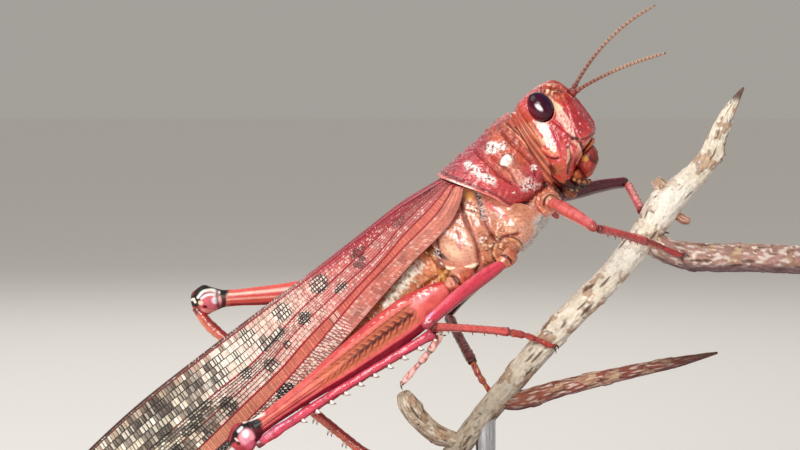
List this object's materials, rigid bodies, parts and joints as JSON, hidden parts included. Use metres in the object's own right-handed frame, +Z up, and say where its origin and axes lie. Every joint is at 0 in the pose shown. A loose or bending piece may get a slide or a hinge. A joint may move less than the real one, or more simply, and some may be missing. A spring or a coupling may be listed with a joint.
{
  "type": "locust",
  "caption": "Life-size adult locust climbing a short cut twig with its wings folded, on a flat display base with a thin rod.",
  "frame": {"origin": "centre of the underside of the stand's base", "axes": "+X the way the locust climbs, in plan; +Y its left side; +Z up, away from the base's underside"},
  "size_m": [0.0776, 0.04, 0.0646],
  "materials": {
    "pink_cuticle": "pink-red insect cuticle, glossy",
    "tan_pleura": "tan-pink insect cuticle, glossy",
    "dark_mouthparts": "dark brown cuticle",
    "eye": "purple-black compound eye, polished",
    "feeler": "brown ringed cuticle",
    "wing_leather": "leathery forewing, pink to cream with brown cells",
    "wing_membrane": "folded clear membrane",
    "belly": "yellow-orange segmented cuticle",
    "bark": "pale grey bark with brown patches",
    "rod_steel": "satin steel rod",
    "base_wood": "dark stained wood, satin"
  },
  "bodies": {
    "root": {"abdomen_front": "belly", "abdomen_middle": "belly", "abdomen_tip": "belly", "antenna_left": "feeler", "antenna_right": "feeler", "coxa_fore_left": "tan_pleura", "coxa_fore_right": "tan_pleura", "coxa_hind_left": "tan_pleura", "coxa_hind_right": "tan_pleura", "coxa_mid_left": "tan_pleura", "coxa_mid_right": "tan_pleura", "eye_left": "eye", "eye_right": "eye", "femur_fore_left": "pink_cuticle", "femur_fore_right": "pink_cuticle", "femur_hind_left": "pink_cuticle", "femur_hind_right": "pink_cuticle", "femur_mid_left": "pink_cuticle", "femur_mid_right": "pink_cuticle", "forewing_left": "wing_leather", "forewing_right": "wing_leather", "head": "pink_cuticle", "hindwing_left": "wing_membrane", "hindwing_right": "wing_membrane", "labium": "dark_mouthparts", "labrum": "pink_cuticle", "mandible_left": "dark_mouthparts", "mandible_right": "dark_mouthparts", "palp_left": "feeler", "palp_right": "feeler", "perch": "bark", "pronotum": "pink_cuticle", "prosternum": "tan_pleura", "stand_base": "base_wood", "stand_rod": "rod_steel", "tarsus_fore_left": "pink_cuticle", "tarsus_fore_right": "pink_cuticle", "tarsus_hind_left": "pink_cuticle", "tarsus_hind_right": "pink_cuticle", "tarsus_mid_left": "pink_cuticle", "tarsus_mid_right": "pink_cuticle", "thorax": "tan_pleura", "tibia_fore_left": "pink_cuticle", "tibia_fore_right": "pink_cuticle", "tibia_hind_left": "pink_cuticle", "tibia_hind_right": "pink_cuticle", "tibia_mid_left": "pink_cuticle", "tibia_mid_right": "pink_cuticle"}
  },
  "joints": []
}
